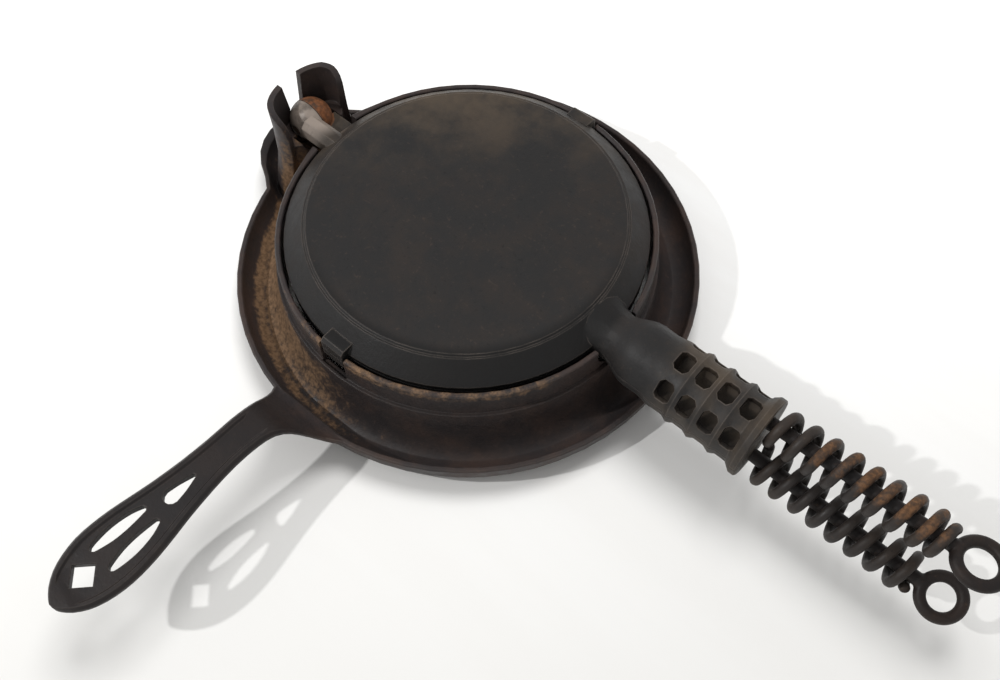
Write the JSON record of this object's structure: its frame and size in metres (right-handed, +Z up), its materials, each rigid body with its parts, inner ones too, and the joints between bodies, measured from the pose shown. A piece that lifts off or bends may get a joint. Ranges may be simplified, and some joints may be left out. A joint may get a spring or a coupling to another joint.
{
  "type": "stovetop waffle iron",
  "caption": "Round cast-iron waffle iron whose hinged pans turn over in a ring-shaped stove base with a drip gutter, side handle and wound-wire coil grips.",
  "frame": {"origin": "centre of the whole box's base, on the surface that the base stands on", "axes": "+Z up, +X along the coil grips away from the hinge, the base's side handle towards -Y"},
  "size_m": [0.391, 0.3378, 0.0624],
  "materials": {
    "cast_iron": "seasoned, dull",
    "pan_iron": "seasoned, slight sheen",
    "handle_steel": "dark, browned",
    "coil_steel": "dark, rusty",
    "pin_steel": "worn"
  },
  "bodies": {
    "base": {"base": "cast_iron"},
    "hinge_pin": {"hinge_pin": "pin_steel"},
    "lower_pan": {"lower_pan": "pan_iron", "lower_handle_rod": "handle_steel"},
    "upper_pan": {"upper_pan": "pan_iron", "upper_handle_rod": "handle_steel"},
    "lower_coil": {"lower_coil_grip": "coil_steel"},
    "upper_coil": {"upper_coil_grip": "coil_steel"}
  },
  "joints": [
    {"name": "pans_flip", "type": "hinge", "parent": "base", "child": "hinge_pin", "pos_m": [-0.16598, 0.06008, 0.039], "axis": [1, 0, 0], "range_deg": [-180, 0]},
    {"name": "pans_lift", "type": "hinge", "parent": "hinge_pin", "child": "lower_pan", "pos_m": [-0.16598, 0.06008, 0.039], "axis": [0, -1, 0], "range_deg": [0, 5]},
    {"name": "pan_open", "type": "hinge", "parent": "lower_pan", "child": "upper_pan", "pos_m": [-0.16598, 0.06008, 0.039], "axis": [0, -1, 0], "range_deg": [0, 86]},
    {"name": "lower_coil_turn", "type": "hinge", "parent": "lower_pan", "child": "lower_coil", "pos_m": [0.08972, 0.05708, 0.0293], "axis": [0.9987, 0, -0.0517], "continuous": true},
    {"name": "upper_coil_turn", "type": "hinge", "parent": "upper_pan", "child": "upper_coil", "pos_m": [0.08972, 0.06308, 0.0487], "axis": [0.9987, 0, 0.0517], "continuous": true}
  ]
}
